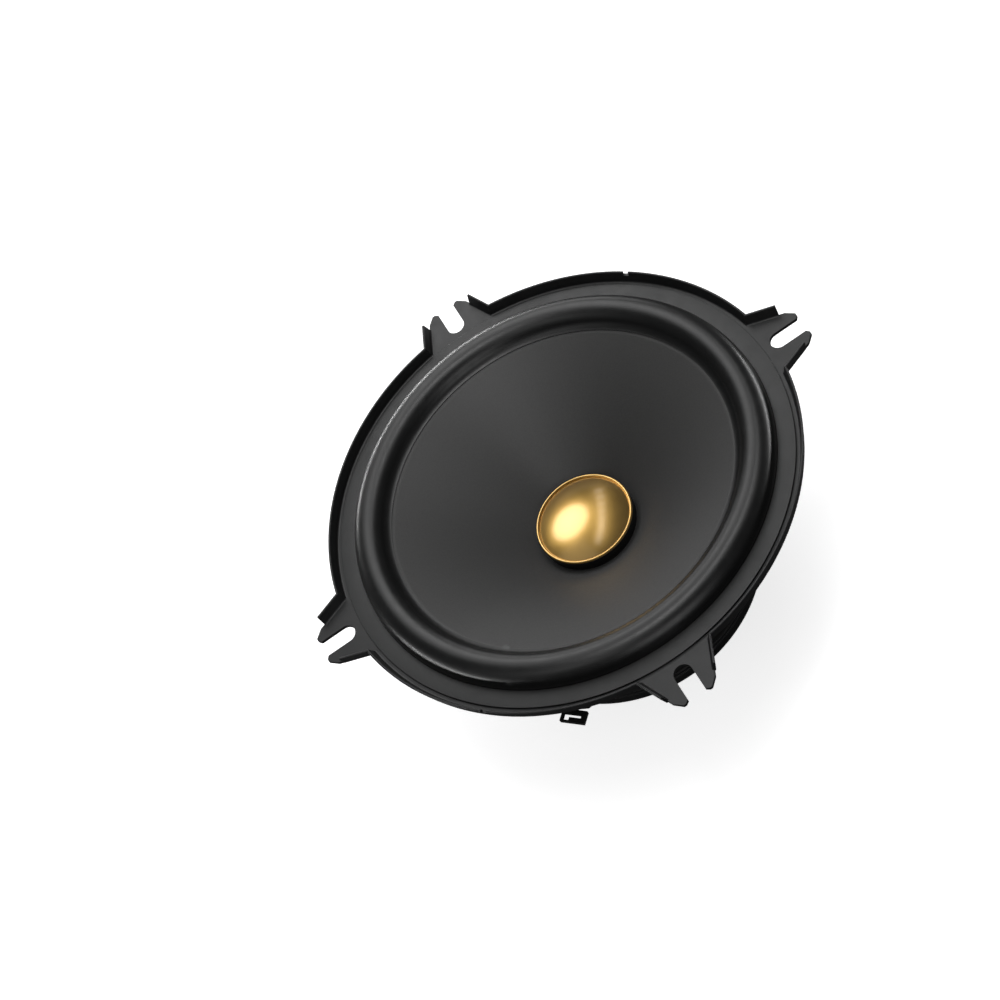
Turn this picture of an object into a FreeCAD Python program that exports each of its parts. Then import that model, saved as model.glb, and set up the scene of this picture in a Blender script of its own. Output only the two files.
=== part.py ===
"""Cone mid-woofer for a car door, as a parametric document of separate pieces.

Millimetres. +Z points out of the cone, the motor is below. The origin is the centre of the flange's rear
face, which is the face that seats on the door. Angles are in degrees about +Z from +X. Every driving size is
a cell of the spreadsheet "Sizes"; sketches and features are bound to those cells.
"""

import FreeCAD, Part
import math
import os
import re

import Sketcher

SIZES = [
    # flange, rim lip and mounting ears of the basket
    ("sheet_t", 1.0, "thickness of the basket's steel sheet"),
    ("flange_r", 64.3, "flange radius, at the bend of the rim lip"),
    ("flange_inner_r", 56.0, "inner radius of the flange"),
    ("register_r", 57.0, "radius of the round step behind the flange, which locates in the door"),
    ("register_len", 3.5, "length of that step"),
    ("lip_top_z", 4.1, "height of the lip's free edge above the flange's rear face"),
    ("lip_foot_out", 0.55, "outward offset of the lip's outer face at its foot"),
    ("lip_top_out", 1.2, "outward offset of the lip's outer face at its free edge"),
    ("lip_thin", 0.7, "thickness of the lip"),
    ("lip_root_in", 1.0, "overlap of the lip's root with the flange"),
    ("lip_bend_out", 1.1, "outer radius of the bend between flange and lip"),
    ("lip_bend_in", 0.5, "inner radius of that bend"),
    ("lip_share", 0.84, "share of the ear's side that carries the lip"),
    ("notch_wide", 1.7, "width of the two notches in the lip"),
    ("notch_deep", 1.0, "depth of the two notches in the lip"),
    ("ear_angle", 45, "angle of the first ear"),
    ("ear_count", 4, "number of ears"),
    ("ear_root_angle", 8.9, "half angle of the ear's root on the flange circle"),
    ("ear_inner_x", 60.0, "where the ear's plate starts inside the flange"),
    ("ear_shoulder_x", 73.0, "radial place of the prong's shoulder"),
    ("ear_shoulder_y", 6.15, "half width of the ear at the shoulder"),
    ("ear_tip_x", 75.1, "radial place of the prong's tip"),
    ("ear_tip_y", 4.1, "half width of the ear at the tip"),
    ("slot_mouth_x", 74.4, "radial place where the slot's straight side ends"),
    ("slot_r", 2.5, "half width of the screw slot"),
    ("slot_centre_x", 67.6, "radial place of the slot's round end"),
    ("tip_break", 0.9, "how far the prong's tip is cut back beside the slot"),
    # bowl of the basket
    ("bowl_wall_z", 8.4, "depth where the bowl's step turns into its slope"),
    ("bowl_wall_r", 51.8, "inner radius of the bowl there"),
    ("ledge_z", 20.6, "depth of the ledge that carries the spider"),
    ("ledge_outer_r", 34.9, "outer radius of that ledge"),
    ("ledge_inner_r", 30.4, "inner radius of that ledge"),
    ("floor_z", 25.8, "depth of the basket's floor, inside"),
    ("floor_outer_r", 28.6, "outer radius of the floor"),
    ("floor_bore_r", 14.6, "radius of the floor's central hole"),
    ("window_inner_r", 38.4, "inner radius of the bowl's windows"),
    ("window_outer_r", 50.2, "outer radius of the bowl's windows"),
    ("window_half_angle", 20, "half angle of a window"),
    ("window_count", 6, "number of windows"),
    ("window_angle", 45, "angle of the first window"),
    ("window_round", 2.5, "rounding of the windows' corners"),
    ("step_corner_in", 0.4, "how far the step's inner corner lies below its outer one"),
    ("wall_corner_out", 0.5, "outward shift of the sheet's outer corner below the step"),
    ("ledge_corner_out", 0.4, "outward shift of the outer corner under the ledge's rim"),
    ("floor_corner_out", 0.7, "outward shift of the outer corners between ledge and floor"),
    ("press_round", 1.2, "rounding of the bowl's pressed bends"),
    # moving system
    ("surround_t", 0.45, "thickness of the surround's rubber"),
    ("roll_centre_r", 53.35, "radius of the centre of the surround's roll"),
    ("roll_centre_z", 2.2, "height of the centre of the roll"),
    ("roll_r", 4.65, "outer radius of the roll's section"),
    ("cone_edge_r", 47.4, "radius where the cone's face meets the surround's inner flange"),
    ("cone_edge_z", 2.65, "height of the cone's face there"),
    ("cone_rim_r", 49.0, "outer radius of the cone"),
    ("cone_t", 0.5, "thickness of the cone"),
    ("cone_curve_r", 166, "radius of the cone's curved generatrix"),
    ("cone_back_shift", 0.15, "outward shift of the cone's back against its face"),
    ("cone_neck_r", 13.6, "radius of the cone's face at its neck"),
    ("cone_neck_z", 19.0, "depth of the cone's face at its neck"),
    ("neck_len", 1.0, "length of the cone's glued neck"),
    ("landing_inner_r", 58.05, "inner radius of the landing ring"),
    ("landing_outer_r", 62.8, "outer radius of the landing ring"),
    ("landing_t", 0.3, "thickness of the landing ring"),
    ("foot_t", 0.3, "thickness of the surround's clamped foot"),
    ("surround_foot_r", 62.4, "outer radius of the surround's foot"),
    ("former_r", 12.85, "outer radius of the voice-coil former"),
    ("former_t", 0.15, "thickness of the former"),
    ("former_top_z", 16.4, "depth of the former's top"),
    ("former_end_z", 34.6, "depth of the former's lower end"),
    ("winding_t", 0.6, "radial thickness of the winding"),
    ("winding_len", 10.0, "length of the winding"),
    ("collar_r", 13.55, "outer radius of the cap's collar"),
    ("collar_top_z", 15.9, "depth of the collar's top"),
    ("cap_dome_r", 12.75, "radius of the dome, inside the rolled rim"),
    ("cap_sphere_r", 28.0, "radius of curvature of the dome"),
    ("cap_t", 0.35, "thickness of the dust cap"),
    ("cap_bead_r", 0.4, "section radius of the cap's rolled rim"),
    ("spider_outer_r", 34.4, "outer radius of the spider"),
    ("spider_t", 0.4, "thickness of the spider"),
    ("spider_top_z", 20.2, "depth of the spider's flat foot, upper face"),
    ("spider_wave_r", 0.75, "radius of curvature of a corrugation"),
    ("spider_wave_in", 14.6, "radius where the corrugations begin"),
    ("spider_wave_wide", 1.35, "width of half a corrugation"),
    ("spider_wave_count", 6, "number of full corrugations"),
    ("spider_neck_t", 0.35, "thickness of the spider's neck"),
    ("spider_neck_len", 1.2, "length of the spider's neck"),
    # motor
    ("plate_r", 35.0, "radius of the top plate and the back plate"),
    ("top_plate_t", 4.2, "thickness of the top plate"),
    ("gap_outer_r", 13.9, "bore of the top plate"),
    ("pole_r", 12.25, "radius of the pole"),
    ("pole_proud", 0.8, "how far the pole stands above the top plate"),
    ("magnet_r", 38.0, "outer radius of the magnet"),
    ("magnet_bore_r", 16.5, "bore of the magnet"),
    ("magnet_t", 11.0, "thickness of the magnet"),
    ("magnet_chamfer", 0.8, "chamfer of the magnet's outer edges"),
    ("back_plate_t", 4.2, "thickness of the back plate"),
    ("vent_r", 4.0, "radius of the pole's vent"),
    ("screen_r", 5.6, "radius of the vent's screen"),
    ("screen_t", 0.4, "thickness of the vent's screen"),
    ("screen_seat_deep", 0.8, "depth of the screen's seat in the yoke"),
    ("cover_t", 1.0, "thickness of the magnet cover's rear wall"),
    ("cover_r", 39.5, "outer radius of the magnet cover"),
    ("cover_gap", 0.05, "radial gap between the magnet and its cover"),
    ("cover_len", 15.4, "height of the magnet cover"),
    ("cover_hole_r", 12.0, "radius of the opening in the cover's rear wall"),
    ("cover_round", 1.2, "rounding of the cover's rear edge"),
    ("rivet_ring_r", 22.0, "radius of the ring of basket rivets"),
    ("rivet_r", 1.5, "radius of a basket rivet's shank"),
    ("rivet_head_r", 2.6, "radius of a basket rivet's head"),
    ("rivet_head_t", 0.9, "height of a basket rivet's head"),
    ("rivet_deep", 3.0, "depth of a basket rivet in the top plate"),
    ("rivet_count", 4, "number of basket rivets"),
    # terminals
    ("tongue_x", 7.4, "middle of the terminal board, along X"),
    ("tongue_wide", 5.6, "width of the basket's tongue that carries the board"),
    ("tongue_root_y", 33.5, "where the tongue leaves the ledge"),
    ("tongue_end_y", 48.6, "where the tongue ends"),
    ("board_t", 1.2, "thickness of the terminal board"),
    ("board_left_x", -1.5, "left end of the terminal board"),
    ("board_in_y", 42.6, "inner edge of the terminal board"),
    ("board_out_y", 49.4, "outer edge of the board, left of its finger"),
    ("board_right_x", 16.3, "right end of the terminal board"),
    ("board_right_y", 48.6, "outer edge of the board at its right end"),
    ("board_chin_x", 14.65, "right end of the board's chamfer above the finger"),
    ("board_nose_x", 14.0, "left end of that chamfer"),
    ("board_nose_y", 50.3, "outer edge of the board above the finger's tip"),
    ("finger_left_x", 7.4, "left side of the board's slotted finger"),
    ("finger_root_x", 11.3, "where the finger's root ends"),
    ("finger_right_x", 14.3, "right side of the finger"),
    ("finger_gap_y", 50.9, "inner side of the gap above the finger"),
    ("finger_top_y", 51.55, "inner edge of the finger"),
    ("finger_end_y", 55.05, "outer end of the finger"),
    ("slot_left_x", 7.95, "left side of the finger's L-shaped slot"),
    ("slot_step_x", 9.8, "right side of the slot's square end"),
    ("slot_right_x", 13.05, "right end of the slot's narrow arm"),
    ("slot_in_y", 52.75, "inner side of the slot"),
    ("slot_arm_y", 53.75, "outer side of the slot's narrow arm"),
    ("slot_end_y", 54.6, "outer side of the slot's square end"),
    ("tab_t", 0.8, "thickness of the terminal blades"),
    ("tab_wide", 4.8, "width of the wide blade"),
    ("tab_narrow", 2.8, "width of the narrow blade"),
    ("tab_spread", 4.8, "distance of each blade's middle from the board's middle"),
    ("tab_in_y", 40.4, "inner face of the blades' bent leg"),
    ("tab_out_y", 47.6, "outer end of the blades"),
    ("tab_end_z", 29.5, "depth of the blades' ends"),
    ("tab_rivet_r", 0.7, "radius of a blade rivet's shank"),
    ("tab_rivet_head_r", 1.25, "radius of a blade rivet's head"),
    ("tab_rivet_head_t", 0.4, "height of a blade rivet's head"),
    ("tab_rivet_y", 45.4, "place of the blade rivets and the board rivet"),
    ("board_rivet_r", 1.0, "radius of the board rivet's shank"),
    ("board_rivet_head_r", 1.8, "radius of the board rivet's head"),
    # leads
    ("lead_r", 0.45, "radius of a tinsel lead"),
    ("joint_ring_r", 20.6, "radius of the ring where the leads meet the cone"),
    ("joint_r", 1.3, "radius of a solder pad"),
    ("joint_low_z", 16.3, "depth of a solder pad's lower face"),
    ("joint_spread", 11.0, "half angle between the two solder pads"),
    ("joint_angle", 285, "middle angle of the two solder pads"),
    ("lead_gap", 0.05, "gap between a lead and what it ends on"),
    ("lead_rise_share", 0.22, "how far along its run a lead has risen over the window's edge"),
    ("lead_rise_z", 17.0, "depth of a lead there"),
    ("lead_sag_share", 0.6, "how far along its run a lead sags"),
    ("lead_sag_z", 17.6, "depth of a lead at its sag"),
]

doc = FreeCAD.newDocument("car_woofer")
sheet = doc.addObject("Spreadsheet::Sheet", "Sizes")
for row, (alias, value, meaning) in enumerate(SIZES, start=1):
    sheet.set(f"A{row}", meaning)
    sheet.set(f"B{row}", str(value))
    sheet.setAlias(f"B{row}", alias)
doc.recompute()

NODES = []
# an arc whose centre lies nearer its chord than this share of its radius is held as a half circle
HALF_CIRCLE = 1e-4
# two places nearer than this are the same corner
NEAR = 1e-3


def bound(text):
    """The expression with each size name turned into its sheet cell. Every size name holds an underscore."""
    return re.sub(r"[a-z]+(?:_[a-z0-9]+)+", lambda found: "Sizes." + found.group(0), text)


def size(text):
    """The value of an expression of size names."""
    return float(sheet.evalExpression(bound(text)))


# ---------------------------------------------------------------- sketches and features


def new_body(name):
    """An empty body whose label is the node's name."""
    body = doc.addObject("PartDesign::Body", name)
    body.Label = name
    NODES.append(body)
    return body


def add_sketch(body, name, plane, offset=None):
    """An empty sketch on one of the body's own origin planes, moved within that plane's frame by offset."""
    sketch = body.newObject("Sketcher::SketchObject", name)
    support = [f for f in body.Origin.OriginFeatures if f.Role == plane][0]
    sketch.AttachmentSupport = [(support, "")]
    sketch.MapMode = "FlatFace"
    if offset is not None:
        sketch.AttachmentOffset = offset
    return sketch


def turned(angle, height=0.0):
    """An offset that turns a sketch about its normal and lifts it along that normal."""
    return FreeCAD.Placement(
        FreeCAD.Vector(0, 0, height), FreeCAD.Rotation(FreeCAD.Vector(0, 0, 1), angle)
    )


def pin(sketch, kind, geometry, place, text):
    """Holds one coordinate of a sketch point at the value of an expression."""
    if size(text) == 0:
        axis = -2 if kind == "DistanceX" else -1
        sketch.addConstraint(Sketcher.Constraint("PointOnObject", geometry, place, axis))
        return
    name = f"{kind}_{geometry}_{place}"
    number = sketch.addConstraint(
        Sketcher.Constraint(kind, -1, 1, geometry, place, size(text))
    )
    sketch.renameConstraint(number, name)
    sketch.setExpression(f"Constraints.{name}", bound(text))


def add_segment(sketch, start, end, radius, turn):
    """A line, or an arc that bulges to the left (turn 1) or right (turn -1) of its chord.
    Returns its number and which of its ends (1 or 2) is the start."""
    p = FreeCAD.Vector(size(start[0]), size(start[1]), 0)
    q = FreeCAD.Vector(size(end[0]), size(end[1]), 0)
    if radius is None:
        return sketch.addGeometry(Part.LineSegment(p, q), False), 1
    chord = q - p
    left = FreeCAD.Vector(-chord.y, chord.x, 0) / chord.Length
    rise = math.sqrt(max(size(radius) ** 2 - (chord.Length / 2) ** 2, 0.0))
    centre = (p + q) / 2 - left * (turn * rise)
    first, last = (q, p) if turn > 0 else (p, q)
    circle = Part.Circle(centre, FreeCAD.Vector(0, 0, 1), size(radius))
    arc = Part.ArcOfCircle(
        circle,
        math.atan2(first.y - centre.y, first.x - centre.x),
        math.atan2(last.y - centre.y, last.x - centre.x),
    )
    number = sketch.addGeometry(arc, False)
    if rise > size(radius) * HALF_CIRCLE:
        hold_radius(sketch, number, radius)
    elif abs(chord.x) < abs(chord.y):
        pin(sketch, "DistanceX", number, 3, start[0])
    else:
        pin(sketch, "DistanceY", number, 3, start[1])
    return number, 2 if turn > 0 else 1


def hold_radius(sketch, number, radius):
    """Holds a circle's or an arc's radius at the value of an expression."""
    name = f"radius_{number}"
    held = sketch.addConstraint(Sketcher.Constraint("Radius", number, size(radius)))
    sketch.renameConstraint(held, name)
    sketch.setExpression(f"Constraints.{name}", bound(radius))


def draw(sketch, outline, closed=True):
    """Draws an outline of corners (x, y) or (x, y, radius, turn): the extra values describe the arc that
    leaves the corner. Each corner is pinned to its expressions, and neighbours share their ends."""
    count = len(outline)
    made = []
    for i, corner in enumerate(outline if closed else outline[:-1]):
        radius, turn = corner[2:] if len(corner) == 4 else (None, 0)
        number, start = add_segment(sketch, corner, outline[(i + 1) % count], radius, turn)
        made.append((number, start))
        pin(sketch, "DistanceX", number, start, corner[0])
        pin(sketch, "DistanceY", number, start, corner[1])
    for (a, a_start), (b, b_start) in zip(made, made[1:] + (made[:1] if closed else [])):
        sketch.addConstraint(Sketcher.Constraint("Coincident", a, 3 - a_start, b, b_start))
    if not closed:
        number, start = made[-1]
        pin(sketch, "DistanceX", number, 3 - start, outline[-1][0])
        pin(sketch, "DistanceY", number, 3 - start, outline[-1][1])
    return sketch


def box_outline(x0, x1, y0, y1):
    """The four corners of an upright rectangle."""
    return [(x0, y0), (x1, y0), (x1, y1), (x0, y1)]


def revolve(body, name, outline):
    """Turns a section of (radius, height) corners about Z."""
    sketch = draw(add_sketch(body, name + "_section", "XZ_Plane"), outline)
    turn = body.newObject("PartDesign::Revolution", name)
    turn.Profile = sketch
    turn.ReferenceAxis = (sketch, ["V_Axis"])
    turn.Angle = 360
    return turn


def pad(body, name, sketch, length):
    """Pads a sketch along its normal."""
    feature = body.newObject("PartDesign::Pad", name)
    feature.Profile = sketch
    feature.setExpression("Length", bound(length))
    return feature


def pocket(body, name, sketch, length, reverse=False):
    """Cuts a sketch against its normal, or along it if reverse is set, and checks that something was cut."""
    before = volume_of(body)
    feature = body.newObject("PartDesign::Pocket", name)
    feature.Profile = sketch
    feature.Reversed = reverse
    feature.setExpression("Length", bound(length))
    if volume_of(body) >= before:
        raise RuntimeError(f"pocket {name} cuts nothing")
    return feature


def volume_of(body):
    """The body's volume once everything is up to date."""
    doc.recompute()
    return body.Shape.Volume


def around(body, name, features, count):
    """Repeats features about Z and makes the result the body's tip."""
    pattern = body.newObject("PartDesign::PolarPattern", name)
    pattern.Originals = features
    axis = [f for f in body.Origin.OriginFeatures if f.Role == "Z_Axis"][0]
    pattern.Axis = (axis, [""])
    pattern.Angle = 360
    pattern.setExpression("Occurrences", bound(count))
    body.Tip = pattern
    return pattern


def fillet(body, name, radius, edges):
    """Rounds the listed edges of the body's present shape."""
    base = body.Tip
    feature = body.newObject("PartDesign::Fillet", name)
    feature.Base = (base, [f"Edge{number}" for number in edges])
    feature.setExpression("Radius", bound(radius))
    body.Tip = feature
    doc.recompute()
    return feature


def turned_edges(shape, corners):
    """Numbers of the circular edges about Z that pass through the (radius, height) corners."""
    wanted = [(size(r), size(z)) for r, z in corners]
    found = []
    for number, edge in enumerate(shape.Edges, start=1):
        if len(edge.Vertexes) > 1:
            continue
        place = edge.Vertexes[0].Point
        here = (math.hypot(place.x, place.y), place.z)
        if any(math.dist(here, corner) < NEAR for corner in wanted):
            found.append(number)
    return found


def ring(name, inner, outer, low, high):
    """A plain ring as a body: radii and heights as expressions."""
    body = new_body(name)
    revolve(body, name + "_ring", box_outline(inner, outer, low, high))
    return body


# ---------------------------------------------------------------- basket


BENDS = [
    ("flange_inner_r", "sheet_t"),
    ("flange_inner_r", "-register_len - step_corner_in"),
    ("bowl_wall_r", "-bowl_wall_z"),
    ("ledge_outer_r", "-ledge_z"),
    ("ledge_inner_r", "-ledge_z"),
    ("floor_outer_r", "-floor_z"),
    ("floor_outer_r + floor_corner_out", "-floor_z - sheet_t"),
    ("ledge_inner_r + floor_corner_out", "-ledge_z - sheet_t"),
    ("ledge_outer_r + ledge_corner_out", "-ledge_z - sheet_t"),
    ("bowl_wall_r + wall_corner_out", "-bowl_wall_z - sheet_t"),
    ("register_r", "-register_len - sheet_t"),
]


def basket_section():
    """Flange, register step, sloping wall, spider ledge and floor of the pressed basket, as (radius, height).
    The bends in the middle are rounded afterwards."""
    edge = "flange_r - lip_root_in / 2"
    bore = [("floor_bore_r", "-floor_z"), ("floor_bore_r", "-floor_z - sheet_t")]
    inside, outside = BENDS[:6], BENDS[6:]
    return [(edge, "sheet_t")] + inside + bore + outside + [("register_r", "0"), (edge, "0")]


def ear_outline():
    """One forked ear in its own frame, X radial: two prongs either side of an open slot with a round end."""
    root_x = "flange_r * cos(ear_root_angle)"
    root_y = "flange_r * sin(ear_root_angle)"
    return [
        ("ear_inner_x", "-(" + root_y + ")"),
        (root_x, "-(" + root_y + ")"),
        ("ear_shoulder_x", "-ear_shoulder_y"),
        ("ear_tip_x", "-ear_tip_y"),
        ("ear_tip_x", "-slot_r - tip_break"),
        ("slot_mouth_x", "-slot_r"),
        ("slot_centre_x", "-slot_r", "slot_r", 1),
        ("slot_centre_x", "slot_r"),
        ("slot_mouth_x", "slot_r"),
        ("ear_tip_x", "slot_r + tip_break"),
        ("ear_tip_x", "ear_tip_y"),
        ("ear_shoulder_x", "ear_shoulder_y"),
        (root_x, root_y),
        ("ear_inner_x", root_y),
    ]


def add_lip(body):
    """The upturned lip: a small slanted section drawn along an eighth of the rim and one ear side, then
    mirrored and repeated round the four ears."""
    side_x = "flange_r * cos(ear_root_angle)"
    side_y = "flange_r * sin(ear_root_angle)"
    path = add_sketch(body, "lip_path", "XY_Plane", turned(size("ear_angle")))
    end_x = f"{side_x} + lip_share * (ear_shoulder_x - {side_x})"
    end_y = f"-({side_y} + lip_share * (ear_shoulder_y - {side_y}))"
    draw(
        path,
        [
            ("flange_r * cos(ear_angle)", "-flange_r * sin(ear_angle)", "flange_r", -1),
            (side_x, "-(" + side_y + ")"),
            (end_x, end_y),
        ],
        closed=False,
    )
    section = draw(
        add_sketch(body, "lip_section", "XZ_Plane"),
        [
            ("flange_r - lip_root_in", "0"),
            ("flange_r + lip_foot_out - lip_bend_out", "0", "lip_bend_out", -1),
            ("flange_r + lip_foot_out", "lip_bend_out"),
            ("flange_r + lip_top_out", "lip_top_z - lip_thin / 2", "lip_thin / 2", -1),
            ("flange_r + lip_top_out - lip_thin", "lip_top_z - lip_thin / 2"),
            ("flange_r + lip_foot_out - lip_thin", "sheet_t + lip_bend_in", "lip_bend_in", 1),
            ("flange_r + lip_foot_out - lip_thin - lip_bend_in", "sheet_t"),
            ("flange_r - lip_root_in", "sheet_t"),
        ],
    )
    pipe = body.newObject("PartDesign::AdditivePipe", "lip")
    pipe.Profile = section
    pipe.Spine = (path, ["Edge1", "Edge2"])
    pipe.Mode = "Standard"
    pipe.Transition = "Right corner"
    doc.recompute()
    whole = body.newObject("PartDesign::MultiTransform", "lip_all_round")
    whole.Originals = [pipe]
    mirror = body.newObject("PartDesign::Mirrored", "lip_mirrored")
    plane = [f for f in body.Origin.OriginFeatures if f.Role == "XZ_Plane"][0]
    mirror.MirrorPlane = (plane, [""])
    turn = body.newObject("PartDesign::PolarPattern", "lip_turned")
    axis = [f for f in body.Origin.OriginFeatures if f.Role == "Z_Axis"][0]
    turn.Axis = (axis, [""])
    turn.Angle = 360
    turn.setExpression("Occurrences", bound("ear_count"))
    whole.Transformations = [mirror, turn]
    body.Tip = whole
    doc.recompute()


def window_outline():
    """One window in its own frame, X radial: an outer and an inner arc about Z, two radial sides and round
    corners. Each corner's circle touches a side at its reach along that side, and an arc where touch says."""
    wide, corner = "window_half_angle", "window_round"
    outer, inner = "window_outer_r", "window_inner_r"
    far, near = f"({outer} - {corner})", f"({inner} + {corner})"
    far_reach = f"sqrt({far} ^ 2 - {corner} ^ 2)"
    near_reach = f"sqrt({near} ^ 2 - {corner} ^ 2)"

    def touch(arc, centre, reach, side):
        x = f"({reach} * cos({wide}) + {corner} * sin({wide})) * {arc} / {centre}"
        y = f"{side}({reach} * sin({wide}) - {corner} * cos({wide})) * {arc} / {centre}"
        return x, y

    def along(reach, side):
        return f"{reach} * cos({wide})", f"{side}{reach} * sin({wide})"

    return [
        (*touch(outer, far, far_reach, "-"), outer, -1),
        (*touch(outer, far, far_reach, "+"), corner, -1),
        along(far_reach, "+"),
        (*along(near_reach, "+"), corner, -1),
        (*touch(inner, near, near_reach, "+"), inner, 1),
        (*touch(inner, near, near_reach, "-"), corner, -1),
        along(near_reach, "-"),
        (*along(far_reach, "-"), corner, -1),
    ]


def make_basket():
    body = new_body("basket")
    revolve(body, "basket_bowl", basket_section())
    doc.recompute()
    fillet(body, "pressed_bends", "press_round", turned_edges(body.Shape, BENDS[1:]))
    ear = add_sketch(body, "ear_plan", "XY_Plane", turned(size("ear_angle")))
    draw(ear, ear_outline())
    first = pad(body, "ear", ear, "sheet_t")
    doc.recompute()
    around(body, "ears", [first], "ear_count")
    doc.recompute()
    add_lip(body)

    plan = add_sketch(body, "window_plan", "XY_Plane", turned(size("window_angle")))
    draw(plan, window_outline())
    window = pocket(body, "window", plan, "ledge_z + sheet_t")
    around(body, "windows", [window], "window_count")

    notches = draw(
        add_sketch(body, "notch_section", "XZ_Plane"),
        box_outline("-notch_wide / 2", "notch_wide / 2", "lip_top_z - notch_deep", "lip_top_z + sheet_t"),
    )
    cut = pocket(body, "notches", notches, "(flange_r + lip_top_out) * 2")
    cut.Midplane = True

    tongue = add_sketch(body, "tongue_plan", "XY_Plane", turned(0, -size("ledge_z + sheet_t")))
    left, right = "tongue_x - tongue_wide / 2", "tongue_x + tongue_wide / 2"
    draw(tongue, box_outline(left, right, "-tongue_end_y", "-tongue_root_y"))
    pad(body, "tongue", tongue, "sheet_t")
    hole = add_sketch(body, "board_rivet_hole_plan", "XY_Plane", turned(0, -size("ledge_z")))
    add_circle(hole, "tongue_x", "-tab_rivet_y", "board_rivet_r")
    pocket(body, "board_rivet_hole", hole, "sheet_t")
    seat = add_sketch(body, "rivet_hole_plan", "XY_Plane", turned(0, -size("floor_z")))
    add_circle(seat, "rivet_ring_r", "0", "rivet_r")
    first_hole = pocket(body, "rivet_hole", seat, "sheet_t")
    around(body, "rivet_holes", [first_hole], "rivet_count")


def add_circle(sketch, x, y, radius):
    """A circle pinned at an expression's place with an expression's radius."""
    centre = FreeCAD.Vector(size(x), size(y), 0)
    number = sketch.addGeometry(Part.Circle(centre, FreeCAD.Vector(0, 0, 1), size(radius)), False)
    pin(sketch, "DistanceX", number, 3, x)
    pin(sketch, "DistanceY", number, 3, y)
    hold_radius(sketch, number, radius)
    return sketch


# ---------------------------------------------------------------- moving system


def make_surround():
    """Rubber half-roll: inner flange on the cone's edge, the roll, and a flat foot under the landing ring."""
    flange_top = "cone_edge_z + surround_t"
    inner_r = "roll_r - surround_t"
    revolve(
        new_body("surround"),
        "surround_roll",
        [
            ("cone_edge_r", flange_top),
            (
                f"roll_centre_r - sqrt(roll_r ^ 2 - ({flange_top} - roll_centre_z) ^ 2)",
                flange_top,
                "roll_r",
                1,
            ),
            ("roll_centre_r + roll_r", "roll_centre_z"),
            ("roll_centre_r + roll_r", "sheet_t + foot_t"),
            ("surround_foot_r", "sheet_t + foot_t"),
            ("surround_foot_r", "sheet_t"),
            (f"roll_centre_r + {inner_r}", "sheet_t"),
            (f"roll_centre_r + {inner_r}", "roll_centre_z", inner_r, -1),
            (
                f"roll_centre_r - sqrt(({inner_r}) ^ 2 - (cone_edge_z - roll_centre_z) ^ 2)",
                "cone_edge_z",
            ),
            ("cone_edge_r", "cone_edge_z"),
        ],
    )


def make_cone():
    """Curved cone with a flat rim under the surround's flange and a short neck glued to the former."""
    revolve(
        new_body("cone"),
        "cone_shell",
        [
            ("former_r", "-cone_neck_z"),
            ("cone_neck_r", "-cone_neck_z", "cone_curve_r", 1),
            ("cone_edge_r", "cone_edge_z"),
            ("cone_rim_r", "cone_edge_z"),
            ("cone_rim_r", "cone_edge_z - cone_t"),
            ("cone_edge_r + cone_back_shift", "cone_edge_z - cone_t", "cone_curve_r", -1),
            ("cone_neck_r + cone_back_shift", "-cone_neck_z - cone_t"),
            ("former_r + cone_t", "-cone_neck_z - neck_len"),
            ("former_r", "-cone_neck_z - neck_len"),
        ],
    )


def make_cap():
    """Shallow dome whose edge is rolled into a round bead that sits on the collar."""
    rim_z = "-collar_top_z"
    outer = "collar_r"
    drop = "sqrt(cap_sphere_r ^ 2 - cap_dome_r ^ 2)"
    under = "(cap_sphere_r - cap_t)"
    revolve(
        new_body("dust_cap"),
        "cap_dome",
        [
            ("0", f"{rim_z} + cap_t + cap_sphere_r - {drop}", "cap_sphere_r", 1),
            ("cap_dome_r", f"{rim_z} + cap_t"),
            (f"{outer} - cap_bead_r * 2", f"{rim_z} + cap_bead_r", "cap_bead_r", 1),
            (outer, f"{rim_z} + cap_bead_r"),
            (outer, rim_z),
            ("cap_dome_r", rim_z, f"{under}", -1),
            ("0", f"{rim_z} + {under} - sqrt({under} ^ 2 - cap_dome_r ^ 2)"),
        ],
    )


def make_moving_rings():
    inside = "former_r - former_t"
    ring("voice_coil_former", inside, "former_r", "-former_end_z", "-former_top_z")
    middle = "(floor_z + sheet_t + top_plate_t / 2)"
    ring(
        "voice_coil_winding",
        "former_r",
        "former_r + winding_t",
        f"-{middle} - winding_len / 2",
        f"-{middle} + winding_len / 2",
    )
    ring("cap_collar", "former_r", "collar_r", "-cone_neck_z", "-collar_top_z")


def make_landing_ring():
    """Flat ring over the surround's foot, with its upper edges broken."""
    low = "sheet_t + foot_t"
    body = new_body("landing_ring")
    revolve(
        body,
        "landing_band",
        [
            ("landing_inner_r", low),
            ("landing_outer_r", low),
            ("landing_outer_r", f"{low} + landing_t / 2"),
            ("landing_outer_r - landing_t / 2", f"{low} + landing_t"),
            ("landing_inner_r + landing_t / 2", f"{low} + landing_t"),
            ("landing_inner_r", f"{low} + landing_t / 2"),
        ],
    )


def make_spider():
    """Centring disc: a short neck on the former, round corrugations, a flat foot on the basket's ledge."""
    top, low = "-spider_top_z", "-spider_top_z - spider_t"
    halves = 2 * int(size("spider_wave_count"))
    starts = [f"spider_wave_in + spider_wave_wide * {i}" for i in range(halves + 1)]
    upper = [(starts[i], top, "spider_wave_r", 1 if i % 2 else -1) for i in range(halves)]
    lower = [(starts[i + 1], low, "spider_wave_r", -1 if i % 2 else 1) for i in reversed(range(halves))]
    foot = [(starts[-1], top), ("spider_outer_r", top), ("spider_outer_r", low)]
    neck_r, neck_z = "former_r + spider_neck_t", "-spider_top_z - spider_neck_len"
    neck = [(starts[0], low), (neck_r, low), (neck_r, neck_z), ("former_r", neck_z)]
    revolve(new_body("spider"), "spider_disc", [("former_r", top)] + upper + foot + lower + neck)


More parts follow.
